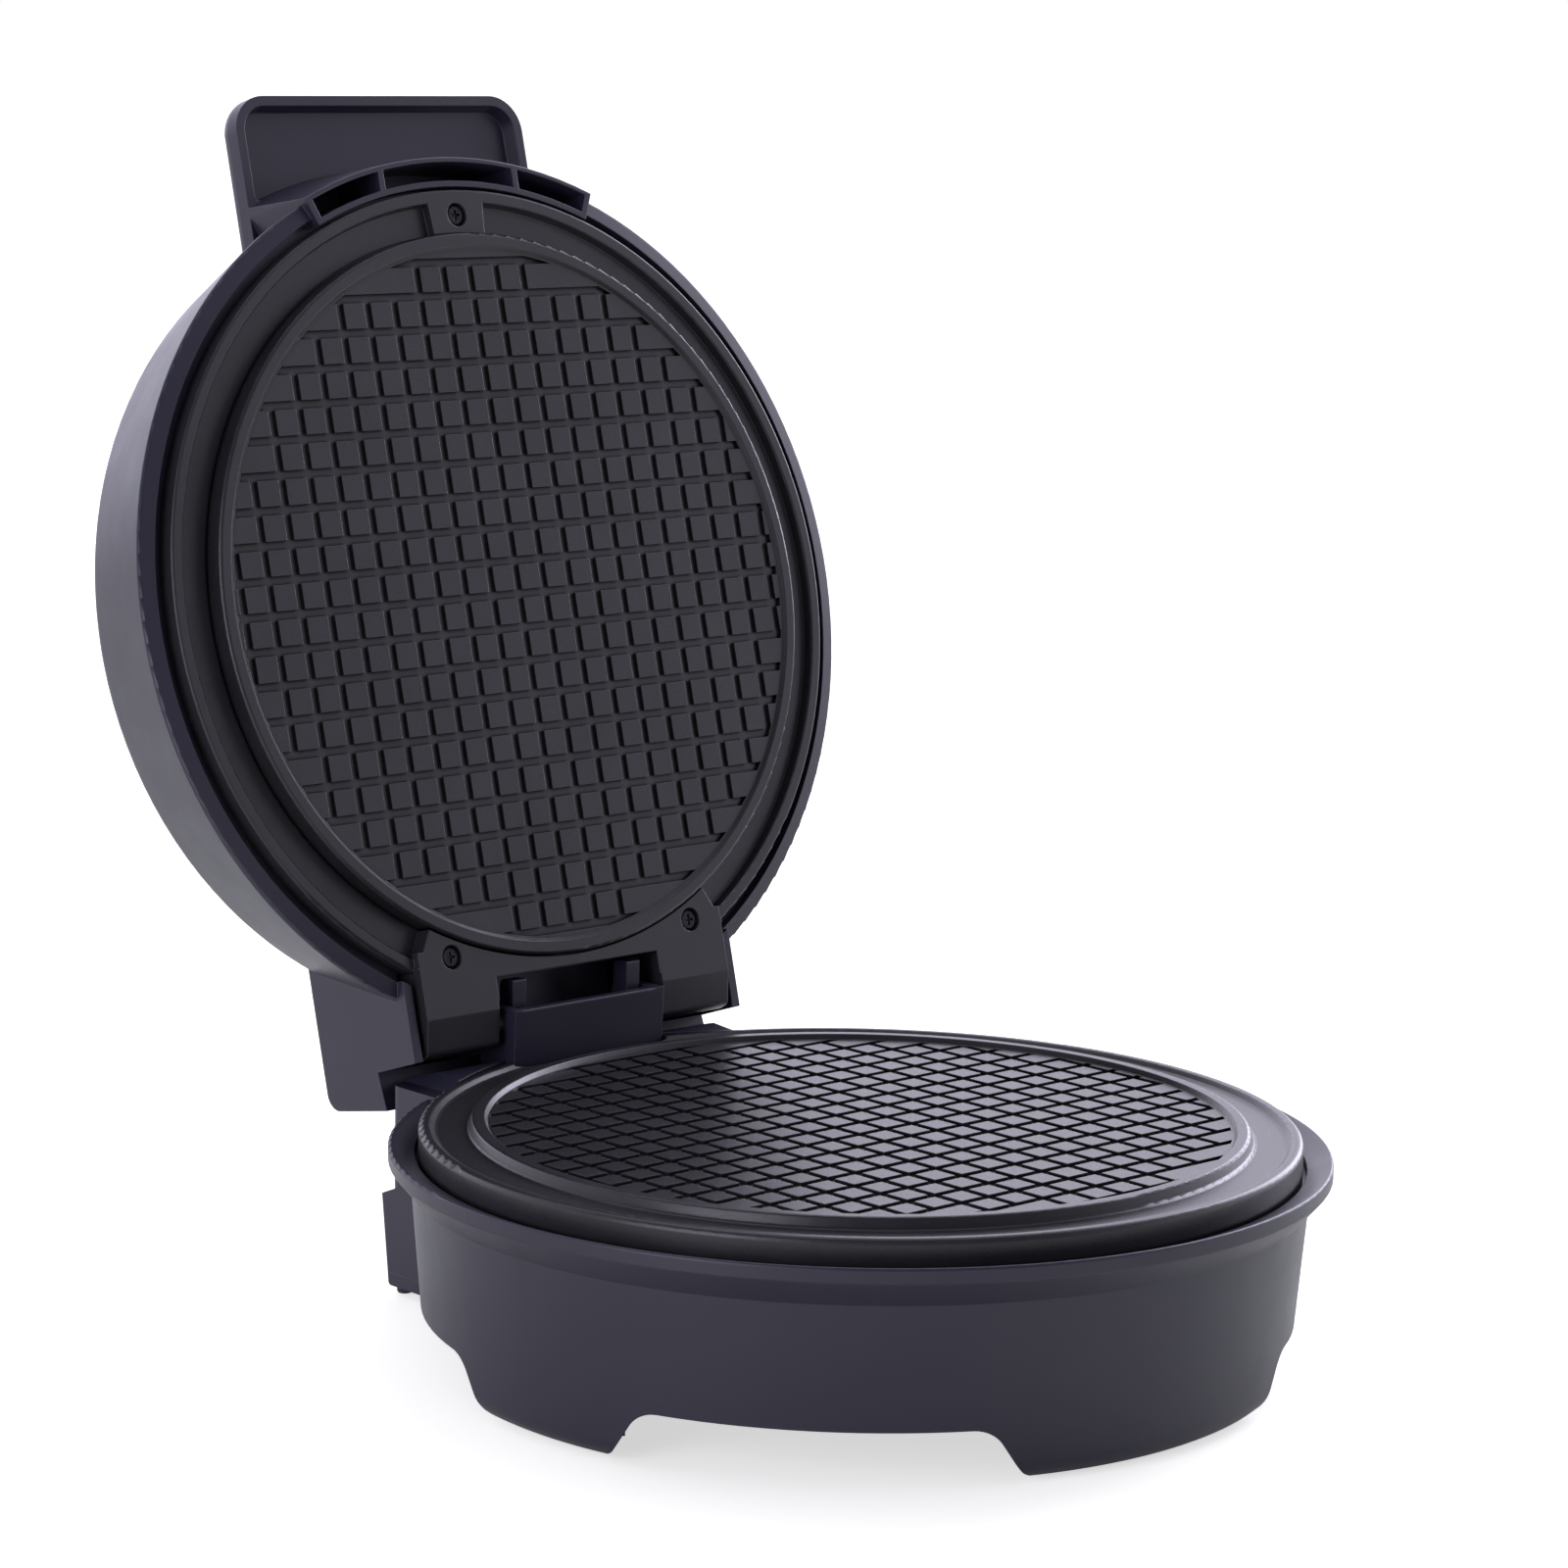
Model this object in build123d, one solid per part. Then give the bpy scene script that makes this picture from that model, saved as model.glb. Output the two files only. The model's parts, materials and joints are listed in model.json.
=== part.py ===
from build123d import *
import math
import os

# Round waffle maker for thin cone waffles, standing open.
# World frame: +X to the right seen from the front, -Y to the front, +Z up.
# Parts are drawn about the base's own axis with the ground at Z = 0, and moved along Y at the
# end, so that the origin is the centre of the open object's footprint on the ground.
# Lid parts are drawn in the lid's frame: origin on the plate's axis at the height of the pads,
# +Y towards the handle, +Z out of the plate. set_lid() closes the lid and swings it open.

# ---------------------------------------------------------------- driving dimensions, mm
WALL = 2.4
OPEN_ANGLE = 104.6
HINGE_Y = 101.5
HINGE_Z = 62.3
PIN_R = 2.5
RUNNING_GAP = 0.06

# Waffle pattern, the same on both plates
PATTERN_R = 83.3
PITCH = 8.1
GROOVE_W = 2.1
GROOVE_DEPTH = 0.9
GRID_SHIFT_X = 3.6
GRID_SHIFT_Y = 3.6
PADS_EACH_WAY = 11

# Base
FLANGE_R = 106.1
FLANGE_Z = 50.0
FLANGE_BAND = 3.5
BODY_TOP_R = 100.9
BODY_TOP_Z = 40.5
BODY_FOOT_R = 97.6
FOOT_EDGE_Z = 0.6
FOOT_INNER_R = 82.0
FOOT_EDGE_ROUND = 5.0
ARCH_Z = 12.8
ARCH_TOP_HALF = 37.0
ARCH_FOOT_HALF = 43.2
ARCH_ROUND = 7.0
FOOT_TIP = 2.2
ARCH_ANGLES = (49.0, 126.0)
COVER_T = 2.3
LEDGE_Z = 45.6
LEDGE_IN_R = 91.0
PLATE_GAP = 0.9
ARCH_START_R = 70.0
ARCH_REACH = 50.0
LOWER_SCREW_R = 90.5
PLATE_POST_Z = 38.0
PLATE_SPLIT_Z = 44.6
COVER_SCREW_R = 78.5
COVER_POST_R = 5.0
COVER_POST_H = 9.0
COVER_SCREW_ANGLES = (45.0, 135.0, -45.0, -135.0)
PAD_RING_R = 87.6
PAD_ANGLES = (12.5, -12.5, 87.5, -87.5)
PAD_R = 4.6
PAD_T = 2.0
LOWER_SCREW_ANGLES = (0.0, 100.0, -100.0)

# Lower plate
LOWER_PLATE_R = 99.3
LOWER_PADS_Z = 54.5
LOWER_RIDGE_Z = 55.6
LOWER_BEAD_Z = 54.1
LOWER_CHANNEL_Z = 52.9
LOWER_BACK_Z = 49.2
RIDGE_IN_R = 84.6
RIDGE_OUT_R = 87.3

# Rear block of the base, its deck and the hinge knuckle
BLOCK_HALF = 51.0
BLOCK_REAR_Y = 106.5
BLOCK_TOP_Z = 50.7
BLOCK_STEP_Z = 24.0
BLOCK_STEP_Y = 109.4
BLOCK_SEAM_Z = 5.3
BLOCK_SEAM_Y = 107.1
CAP_FOOT_X = 47.3
CAP_FOOT_Y = 105.2
DECK_HALF = 46.0
DECK_FRONT_Y = 89.4
DECK_TOP_Z = 54.3
DECK_CREST_Y = 97.4
DECK_ROOT_Z = 44.0
DECK_SLOPE = 3.4
KNUCKLE_HALF = 23.2
KNUCKLE_R = 7.2
KNUCKLE_ROOT_Z = 45.0
KNUCKLE_FRONT_Y = 94.0
KNUCKLE_TOP_Z = 66.6
EAR_X = 17.8
EAR_T = 4.0
EAR_FRONT = 2.2
EAR_BACK = 2.8
EAR_RISE = 10.5
GLAND_Z = 14.0
GLAND_R = 5.0
CORD_R = 3.3
LEAD_X = 9.0
LEAD_SLOT = 2.5
LEAD_SLOTS = ((92.0, 23.0, 40.0), (100.4, 30.0, 60.0))
CLEAR_Z = 60.0

# Lid, in the lid's frame
PADS_GAP_Z = 56.7
AXIS_Y = -HINGE_Y
AXIS_Z = PADS_GAP_Z - HINGE_Z
UPPER_LAND_Z = 0.8
UPPER_PLATE_R = 87.6
UPPER_SEAT_Z = -5.0
UPPER_BACK_Z = -7.0
RIM_R = 105.8
RIM_Z = -5.5
RIM_IN_R = 101.6
SHELL_R = 98.0
SHELL_R_Z = -34.0
BACK_Z = -40.0
BACK_FILLET = 7.0
SEAT_Z = -7.5
BEZEL_R = 98.7
LIP_IN_R = 95.7
LIP_Z = -2.2
CHANNEL_Z = -4.6
BOSS_Z = -0.2
BEZEL_SEAT_Z = -8.6
BEZEL_IN_R = 83.0
BEZEL_SCREWS = ((0.0, 92.5), (-37.3, -84.2), (37.3, -84.2))
SCREW_HOLE_R = 2.9
TOP_BOSS_ANGLE = 10.0
LOW_BOSS_ANGLE = 58.0
ARM_IN = 25.6
ARM_OUT = 47.1
POCKET_TOP_Y = -90.4
POCKET_HALF = 25.2
TAIL_END_Y = -116.2
TAIL_TOE_Y = -117.6
NOTCH_Y = -107.3
NOTCH_DEEP_Y = -108.4
NOTCH_Z = -17.4
TAIL_FRONT_Z = -2.5
TAIL_HALF = 51.0
ARC_HALF_ANGLE = 24.3
ARC_TOP_Z = -3.0
ARC_IN_R = 99.6
ARC_OUT_R = 106.8
ARC_ROOT_R = 109.4
POCKET_IN_R = 101.0
POCKET_OUT_R = 105.6
ARC_POCKET_Z = -20.0
ARC_RIB_X = 20.5
ARC_RIB_T = 1.6
LINER_HALF = 24.0
LINER_T = 2.4
LINER_Z = -21.4
LINER_FRONT_Y = -88.4
LINER_END_Y = -113.0
LINER_TOP_Z = -9.0

# Handle, in the lid's frame
HANDLE_HALF = 44.0
HANDLE_END_Y = 127.0
HANDLE_FRONT_Z = -25.5
HANDLE_BACK_Z = -34.0
HANDLE_CORNER = 9.0
RECESS_DEPTH = 3.6
RECESS_LIP = 2.4
RECESS_LOW_Y = 101.5

# Heating and control parts
HEATER_R = 58.0
HEATER_TUBE_R = 3.2
HEATER_GAP_ANGLE = 40.0
LEAD_R = 1.3
SHIELD_R = 72.0
SHIELD_T = 0.8
SHIELD_DROP = 7.4
SHIELD_SCREW_R = 36.0
SHIELD_SCREW_ANGLES = (0.0, 120.0, -120.0)
THERMOSTAT_R = 8.0
LAMP_X = 12.0
LAMP_Y = 66.0
LENS_R = 4.0


def outline(points):
    """Closed outline; a point's third number, if it has one, rounds that corner."""
    shape = Polygon(*[point[:2] for point in points], align=None)
    for x, y, radius in [point for point in points if len(point) == 3]:
        corner = shape.vertices().sort_by_distance((x, y, 0))[0]
        shape = fillet(corner, radius)
    return shape


def rev(points, angle=360.0):
    """Solid of revolution about Z from (radius, z) points; a part turn is centred on +Y."""
    solid = revolve(Plane.XZ * outline(points), Axis.Z, revolution_arc=angle)
    return Rot(0, 0, 90 - angle / 2) * solid if angle < 360 else solid


def side(points, half, middle=0.0):
    """Prism along X from (y, z) points, reaching half to each side of middle."""
    return Pos(middle, 0, 0) * extrude(Plane.YZ * outline(points), amount=half, both=True)


def block(x0, x1, y0, y1, z0, z1):
    """Box between two corners."""
    centre = Pos((x0 + x1) / 2, (y0 + y1) / 2, (z0 + z1) / 2)
    return centre * Box(x1 - x0, y1 - y0, z1 - z0)


def rod(x, y, z0, z1, r):
    """Upright cylinder between two heights."""
    return Pos(x, y, (z0 + z1) / 2) * Cylinder(r, z1 - z0)


def cross_rod(x0, x1, y, z, r):
    """Cylinder along X."""
    return Pos((x0 + x1) / 2, y, z) * Rot(0, 90, 0) * Cylinder(r, x1 - x0)


def both_sides(solid):
    """The solid and its mirror image across the middle plane."""
    return [solid, mirror(solid, about=Plane.YZ)]


def around(radius, angles):
    """Points on a circle, at angles from the front, positive towards +X."""
    return [(radius * math.sin(math.radians(a)), -radius * math.cos(math.radians(a))) for a in angles]


def group(solids):
    """Separate solids kept together in one node."""
    return Compound(children=list(solids))


def screw(x, y, z_top, length, head_r=2.5, head_h=1.6, shank_r=1.4):
    """Cross-head screw pointing down, with its head's top at z_top."""
    head = rod(x, y, z_top - head_h, z_top, head_r)
    head = fillet(head.edges().group_by(Axis.Z)[-1], 0.6)
    shank = rod(x, y, z_top - head_h - length, z_top - head_h, shank_r)
    slot = Box(2.8, 0.7, 1.6) + Box(0.7, 2.8, 1.6)
    return head + shank - Pos(x, y, z_top) * slot


def upturned(solid, z):
    """The solid turned upside down about the height z."""
    return Pos(0, 0, 2 * z) * mirror(solid, about=Plane.XY)


def waffle_cut(pads_z):
    """The grooves between the pads, as a cutter.

    Grooves along X run right across the pattern's circle. Grooves along Y stop at the last
    crossing inside it, so that no slivers are left round the edge.
    """
    steps = range(-PADS_EACH_WAY, PADS_EACH_WAY + 1)
    across = [(step + 0.5) * PITCH + GRID_SHIFT_Y for step in steps]
    strips = [Pos(0, y) * Rectangle(2 * PATTERN_R, GROOVE_W) for y in across if abs(y) < PATTERN_R]
    for step in steps:
        x = (step + 0.5) * PITCH + GRID_SHIFT_X
        inside = [y for y in across if math.hypot(x, y) < PATTERN_R]
        if len(inside) > 1:
            length = max(inside) - min(inside)
            strips.append(Pos(x, (max(inside) + min(inside)) / 2) * Rectangle(GROOVE_W, length))
    grooves = Circle(PATTERN_R) & (Sketch() + strips)
    return Pos(0, 0, pads_z - GROOVE_DEPTH) * extrude(grooves, amount=2 * GROOVE_DEPTH)


# ---------------------------------------------------------------- base
def arch(angle, grow=0.0):
    """Tunnel under the wall between two feet, at an angle from the front."""
    top_x = ARCH_TOP_HALF + grow
    foot_x = ARCH_FOOT_HALF + grow
    mouth = outline([
        (-foot_x - FOOT_TIP, -grow),
        (-foot_x, FOOT_TIP - grow, FOOT_TIP),
        (-top_x, ARCH_Z + grow, ARCH_ROUND + grow),
        (top_x, ARCH_Z + grow, ARCH_ROUND + grow),
        (foot_x, FOOT_TIP - grow, FOOT_TIP),
        (foot_x + FOOT_TIP, -grow),
    ])
    tunnel = extrude(Plane.XZ * mouth, amount=ARCH_REACH, dir=(0, -1, 0))
    return Rot(0, 0, angle) * Pos(0, -ARCH_START_R, 0) * tunnel


def arches(grow=0.0):
    """All four tunnels."""
    return [arch(turn, grow) for angle in ARCH_ANGLES for turn in (angle, -angle)]


def base_wall():
    """Flange, wall and hollow feet, all round."""
    top = FLANGE_Z
    roof_z = ARCH_Z + WALL
    seat_r = LOWER_PLATE_R + PLATE_GAP
    full = rev([
        (FLANGE_R, top, 0.6),
        (FLANGE_R, top - FLANGE_BAND, 0.7),
        (BODY_TOP_R, BODY_TOP_Z),
        (BODY_FOOT_R, FOOT_EDGE_Z, FOOT_EDGE_ROUND),
        (FOOT_INNER_R, FOOT_EDGE_Z),
        (FOOT_INNER_R, roof_z),
        (BODY_FOOT_R - WALL, roof_z),
        (BODY_TOP_R - WALL, BODY_TOP_Z),
        (BODY_TOP_R - WALL, LEDGE_Z - WALL),
        (LEDGE_IN_R, LEDGE_Z - WALL),
        (LEDGE_IN_R, LEDGE_Z),
        (seat_r, LEDGE_Z),
        (seat_r, top - 2.2),
        (FLANGE_R - 1.6, top - 0.5),
    ])
    hollow = rev([
        (FOOT_INNER_R + WALL, FOOT_EDGE_Z + WALL),
        (BODY_FOOT_R - WALL, FOOT_EDGE_Z + WALL),
        (BODY_FOOT_R - WALL, roof_z + 1.0),
        (FOOT_INNER_R + WALL, roof_z + 1.0),
    ])
    return full, hollow


def rear_block(inset=0.0):
    """Side outline of the rear block, or of its hollow."""
    return [
        (70.0, BLOCK_SEAM_Z - inset),
        (BLOCK_SEAM_Y - inset, BLOCK_SEAM_Z - inset),
        (BLOCK_STEP_Y - inset, BLOCK_STEP_Z),
        (BLOCK_REAR_Y - inset, BLOCK_STEP_Z + 1.2),
        (BLOCK_REAR_Y - inset, BLOCK_TOP_Z - inset),
        (70.0, BLOCK_TOP_Z - inset),
    ]


def deck(inset=0.0):
    """Raised deck under the lid's arms, with sloping ends, or its hollow."""
    body = side([
        (DECK_FRONT_Y, DECK_ROOT_Z),
        (DECK_FRONT_Y, DECK_TOP_Z - 1.1 - inset),
        (DECK_CREST_Y, DECK_TOP_Z - inset),
        (BLOCK_REAR_Y - inset, DECK_TOP_Z - 2.5 - inset),
        (BLOCK_REAR_Y - inset, DECK_ROOT_Z),
    ], DECK_HALF)
    half = DECK_HALF - inset
    ends = outline([
        (-half, DECK_ROOT_Z),
        (-half, BLOCK_TOP_Z - inset),
        (DECK_SLOPE - half, DECK_TOP_Z - inset),
        (half - DECK_SLOPE, DECK_TOP_Z - inset),
        (half, BLOCK_TOP_Z - inset),
        (half, DECK_ROOT_Z),
    ])
    return body & extrude(Plane.XZ * ends, amount=2 * BLOCK_REAR_Y, dir=(0, 1, 0))


def knuckle():
    """Fixed middle of the hinge: front plate, two cheeks and two taller ears."""
    lean = 0.8
    plate = side([
        (KNUCKLE_FRONT_Y + lean, KNUCKLE_ROOT_Z),
        (KNUCKLE_FRONT_Y, KNUCKLE_TOP_Z, 0.5),
        (KNUCKLE_FRONT_Y + WALL, KNUCKLE_TOP_Z),
        (KNUCKLE_FRONT_Y + WALL + lean, KNUCKLE_ROOT_Z),
    ], KNUCKLE_HALF)
    cheek = side([
        (KNUCKLE_FRONT_Y + lean, KNUCKLE_ROOT_Z),
        (KNUCKLE_FRONT_Y, KNUCKLE_TOP_Z),
        (HINGE_Y + KNUCKLE_R, KNUCKLE_TOP_Z, 4.0),
        (HINGE_Y + KNUCKLE_R, HINGE_Z, 1.0),
        (BLOCK_REAR_Y - 1.0, KNUCKLE_ROOT_Z),
    ], WALL / 2, KNUCKLE_HALF - WALL / 2)
    ear = side([
        (HINGE_Y - EAR_FRONT, KNUCKLE_ROOT_Z),
        (HINGE_Y - EAR_FRONT, HINGE_Z + EAR_RISE, 0.5),
        (HINGE_Y + EAR_BACK, HINGE_Z + EAR_RISE - 0.4, 1.6),
        (HINGE_Y + EAR_BACK, KNUCKLE_TOP_Z, 1.0),
        (BLOCK_REAR_Y - 1.0, HINGE_Z + 1.0, 1.0),
        (BLOCK_REAR_Y - 1.0, KNUCKLE_ROOT_Z),
    ], EAR_T / 2, EAR_X)
    return [plate] + both_sides(cheek) + both_sides(ear)


def bowl(inset=0.0):
    """The base's drafted round body as a solid, up past the plate."""
    return rev([
        (0, 0),
        (BODY_FOOT_R - inset, 0),
        (BODY_TOP_R - inset, BODY_TOP_Z),
        (BODY_TOP_R - inset, CLEAR_Z),
        (0, CLEAR_Z),
    ])


def well(radius, z):
    """Round space over a height, to keep what is added clear of the plate."""
    return rod(0, 0, z, CLEAR_Z, radius)


def base_shell():
    seat_r = LOWER_PLATE_R + PLATE_GAP
    full, hollow = base_wall()
    rear = side(rear_block(), BLOCK_HALF)
    rear = fillet(rear.edges().filter_by(Axis.Z).group_by(Axis.Y)[-1], 3.0) - bowl(WALL / 2)
    rear_hollow = side(rear_block(WALL), BLOCK_HALF - WALL) - bowl()
    under_flange = well(FLANGE_R - 1.0, 40.0) - well(FLANGE_R, FLANGE_Z - 1.0)
    raised = deck() - well(seat_r, LEDGE_Z - 3.0)
    raised_hollow = deck(WALL) - under_flange - well(seat_r + WALL, FLANGE_Z - 1.0)
    shell = full - arches()
    shell += rear
    shell += raised
    shell -= rear_hollow
    shell -= raised_hollow
    shell += knuckle()
    shell -= hollow - arches(WALL)
    shell -= cross_rod(-ARM_IN, ARM_IN, HINGE_Y, HINGE_Z, PIN_R)
    for y, low, high in LEAD_SLOTS:
        shell -= block(LEAD_X - LEAD_SLOT, LEAD_X + LEAD_SLOT, y, HINGE_Y + LEAD_SLOT, low, high)
    for x, y in around(LOWER_SCREW_R, LOWER_SCREW_ANGLES):
        shell += rod(x, y, PLATE_POST_Z, PLATE_SPLIT_Z, 4.0)
        shell -= rod(x, y, PLATE_SPLIT_Z, LEDGE_Z + 1, 4.0) + rod(x, y, PLATE_POST_Z, PLATE_SPLIT_Z, 1.6)
    post_z = ARCH_Z + COVER_T + 0.1
    for x, y in around(COVER_SCREW_R, COVER_SCREW_ANGLES):
        shell += rod(x, y, post_z, post_z + COVER_POST_H, COVER_POST_R)
        shell -= rod(x, y, ARCH_Z, post_z + COVER_POST_H - WALL, 1.4)
    for x, y in around(PAD_RING_R, PAD_ANGLES):
        shell -= rod(x, y, 0, PAD_T, PAD_R)
    shell -= gland_place() * Cylinder(GLAND_R, 16)
    return shell


def gland_place():
    """Place of the cord's inlet: on the drafted rear wall, square to it."""
    rise = BLOCK_STEP_Z - BLOCK_SEAM_Z
    draft = math.degrees(math.atan((BLOCK_STEP_Y - BLOCK_SEAM_Y) / rise))
    y = BLOCK_SEAM_Y + (BLOCK_STEP_Y - BLOCK_SEAM_Y) * (GLAND_Z - BLOCK_SEAM_Z) / rise
    return Pos(0, y, GLAND_Z) * Rot(-90 - draft, 0, 0)


def cord_gland():
    """Inlet bush: outer flange, neck through the wall and inner lip, open in the middle."""
    return gland_place() * rev([
        (CORD_R, -WALL - 4.0),
        (GLAND_R - 0.6, -WALL - 4.0, 0.5),
        (GLAND_R + 1.0, -WALL),
        (GLAND_R, -WALL),
        (GLAND_R, 0),
        (GLAND_R + 2.0, 0),
        (GLAND_R + 2.0, 1.6, 0.8),
        (CORD_R, 2.4, 0.8),
    ])


def bottom_cover():
    """Flat cover inside the feet, with vent slots and countersinks for its screws."""
    cover = rod(0, 0, ARCH_Z, ARCH_Z + COVER_T, FOOT_INNER_R - 0.4)
    cover = fillet(cover.edges().group_by(Axis.Z)[0], 0.8)
    slot = extrude(Plane.XY * SlotOverall(34, 3.2), amount=3 * COVER_T)
    for row in range(-3, 4):
        for column in (-1, 1):
            cover -= Pos(column * 24, row * 9, ARCH_Z - COVER_T) * slot
    for x, y in around(COVER_SCREW_R, COVER_SCREW_ANGLES):
        cover -= rod(x, y, ARCH_Z - 1, ARCH_Z + 3, 1.6)
    return cover


def rear_cap():
    """Cap under the rear block, with two small feet."""
    seam = [(84.0, 2.2), (BLOCK_SEAM_Y - 0.3, 2.2, 1.0), (BLOCK_SEAM_Y, BLOCK_SEAM_Z), (84.0, BLOCK_SEAM_Z)]
    cap = side(seam, BLOCK_HALF)
    round_body = rod(0, 0, -1, 20, BODY_FOOT_R + 0.6)
    rim = side([(84, 3.4), (BLOCK_SEAM_Y - WALL, 3.4), (BLOCK_SEAM_Y - WALL, 9), (84, 9)], BLOCK_HALF - WALL)
    cap = cap - round_body - rim
    for x in (-CAP_FOOT_X, CAP_FOOT_X):
        foot = rod(x, CAP_FOOT_Y, 0, 2.6, 1.9)
        cap += fillet(foot.edges().group_by(Axis.Z)[0], 0.7)
    return cap


def foot_pads():
    """Round rubber pads let into the soles."""
    pads = [rod(x, y, 0, PAD_T, PAD_R) for x, y in around(PAD_RING_R, PAD_ANGLES)]
    return group([chamfer(pad.edges().group_by(Axis.Z)[0], 0.4) for pad in pads])


def lower_plate():
    plate = rev([
        (0, LOWER_PADS_Z),
        (RIDGE_IN_R - 0.8, LOWER_PADS_Z),
        (RIDGE_IN_R, LOWER_RIDGE_Z, 0.4),
        (RIDGE_OUT_R, LOWER_RIDGE_Z, 0.8),
        (RIDGE_OUT_R + 1.0, LOWER_CHANNEL_Z, 1.0),
        (95.4, LOWER_CHANNEL_Z, 1.0),
        (96.8, LOWER_BEAD_Z, 0.8),
        (LOWER_PLATE_R, LOWER_BEAD_Z, 1.3),
        (LOWER_PLATE_R, LEDGE_Z),
        (LOWER_PLATE_R - 2.2, LEDGE_Z),
        (LOWER_PLATE_R - 2.2, LOWER_BACK_Z + 1.4),
        (RIDGE_IN_R, LOWER_BACK_Z + 1.4),
        (RIDGE_IN_R - 1.4, LOWER_BACK_Z),
        (0, LOWER_BACK_Z),
    ])
    for x, y in around(LOWER_SCREW_R, LOWER_SCREW_ANGLES):
        plate += rod(x, y, PLATE_SPLIT_Z, LOWER_BACK_Z + 2, 3.6)
        plate -= rod(x, y, PLATE_SPLIT_Z, LOWER_BACK_Z + 1, 1.4)
    plate -= block(-KNUCKLE_HALF - 0.8, KNUCKLE_HALF + 0.8, KNUCKLE_FRONT_Y - 0.7, 110, 40, 60)
    for x, y in around(SHIELD_SCREW_R, SHIELD_SCREW_ANGLES):
        plate += rod(x, y, LOWER_BACK_Z - SHIELD_DROP, LOWER_BACK_Z + 1, 3.4)
        plate -= rod(x, y, LOWER_BACK_Z - SHIELD_DROP, LOWER_BACK_Z, 1.4)
    return plate - waffle_cut(LOWER_PADS_Z)


def heater(back_z):
    """Tubular heating element lying under a plate's back, with two terminal pins."""
    section = Plane.XZ * Pos(HEATER_R, 0) * Circle(HEATER_TUBE_R)
    loop = revolve(section, Axis.Z, revolution_arc=360 - HEATER_GAP_ANGLE)
    loop = Rot(0, 0, 90 + HEATER_GAP_ANGLE / 2) * loop
    ends = around(HEATER_R, (180 - HEATER_GAP_ANGLE / 2 - 4, 180 + HEATER_GAP_ANGLE / 2 + 4))
    for x, y in ends:
        loop += rod(x, y, -13.0, 0, 1.6) + rod(x, y, -7.5, 0, 2.6)
    return Pos(0, 0, back_z - HEATER_TUBE_R - 0.05) * loop


def heat_shield(back_z):
    """Thin dish that turns the heat back to the plate."""
    top = back_z - SHIELD_DROP
    dish = rev([
        (THERMOSTAT_R + 3.0, top),
        (SHIELD_R, top),
        (SHIELD_R + 3.0, top + 4.0),
        (SHIELD_R + 3.0 + SHIELD_T, top + 4.0),
        (SHIELD_R + SHIELD_T, top - SHIELD_T),
        (THERMOSTAT_R + 3.0, top - SHIELD_T),
    ])
    for x, y in around(SHIELD_SCREW_R, SHIELD_SCREW_ANGLES):
        dish -= rod(x, y, top - 2, top + 1, 1.6)
    for x, y in around(HEATER_R, (156.0, 204.0)):
        dish -= rod(x, y, top - 2, top + 1, 4.0)
    return dish


def thermostat(back_z):
    """Bimetal thermostat on a plate's back, with two blade terminals."""
    low = back_z - 10.0
    body = rod(0, 0, low, back_z, THERMOSTAT_R)
    body = chamfer(body.edges().group_by(Axis.Z)[0], 0.8)
    body += rod(0, 0, low + 5, low + 6.2, THERMOSTAT_R + 1.2)
    for x in (-4.0, 4.0):
        body += block(x - 0.4, x + 0.4, -3.1, 3.1, low - 7, low)
    return body


def shield_screws(back_z):
    under = back_z - SHIELD_DROP - SHIELD_T
    spots = around(SHIELD_SCREW_R, SHIELD_SCREW_ANGLES)
    return group([upturned(screw(x, y, under + 1.6, 5.0), under) for x, y in spots])


def under_screws(radius, angles, z, length):
    """Screws driven upwards, with the undersides of their heads at z."""
    return group([upturned(screw(x, y, z + 1.6, length), z) for x, y in around(radius, angles)])


def thermal_fuse():
    """Cut-out in its sleeve, clipped under the lower shield."""
    z = LOWER_BACK_Z - SHIELD_DROP - SHIELD_T - 2.3
    fuse = cross_rod(-7, 7, -30, z, 2.2) + cross_rod(-16, 16, -30, z, 1.0)
    return fuse


def terminal_block():
    """Screw terminal block on the bottom cover."""
    low = ARCH_Z + COVER_T
    body = block(-44, -16, 28, 44, low, low + 13)
    body = fillet(body.edges().filter_by(Axis.Z), 1.0)
    for x in (-39, -30, -21):
        body -= Pos(x, 36, low + 7) * Rot(90, 0, 0) * Cylinder(2.0, 20)
        body -= rod(x, 36, low + 9, low + 14, 1.8)
    return body


def lead(points):
    """Insulated lead along straight runs joined by arcs."""
    bends = []
    for before, here, after in zip(points, points[1:], points[2:]):
        run = min((Vector(here) - Vector(before)).length, (Vector(after) - Vector(here)).length)
        turn = (Vector(here) - Vector(before)).get_angle(Vector(after) - Vector(here))
        bends.append(0.45 * run / math.tan(math.radians(turn / 2)))
    path = FilletPolyline(*points, radius=bends)
    return sweep((path ^ 0) * Circle(LEAD_R), path=path)


def lower_lead():
    """From the terminal block up through the deck into the hinge."""
    return lead([
        (-21, 48, 22),
        (-14, 66, 23),
        (-2, 82, 25),
        (LEAD_X, 96, 28),
        (LEAD_X, 102.1, 38),
        (LEAD_X, 102.3, 55),
    ])


def upper_lead():
    """From the lid's thermostat to the hinge."""
    return lead([(4, -7, -26), (4, -24, -29), (7, -52, -30), (LEAD_X, -76, -27), (LEAD_X, -98, -24.5)])


def hinge_pin():
    return cross_rod(-ARM_OUT + 0.4, ARM_OUT - 0.4, HINGE_Y, HINGE_Z, PIN_R)


# ---------------------------------------------------------------- lid
def shell_r(z, inset=0.0):
    """Radius of the lid's round wall at a height in the lid's frame."""
    return RIM_R + (RIM_Z - z) * (SHELL_R - RIM_R) / (RIM_Z - SHELL_R_Z) - inset


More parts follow.
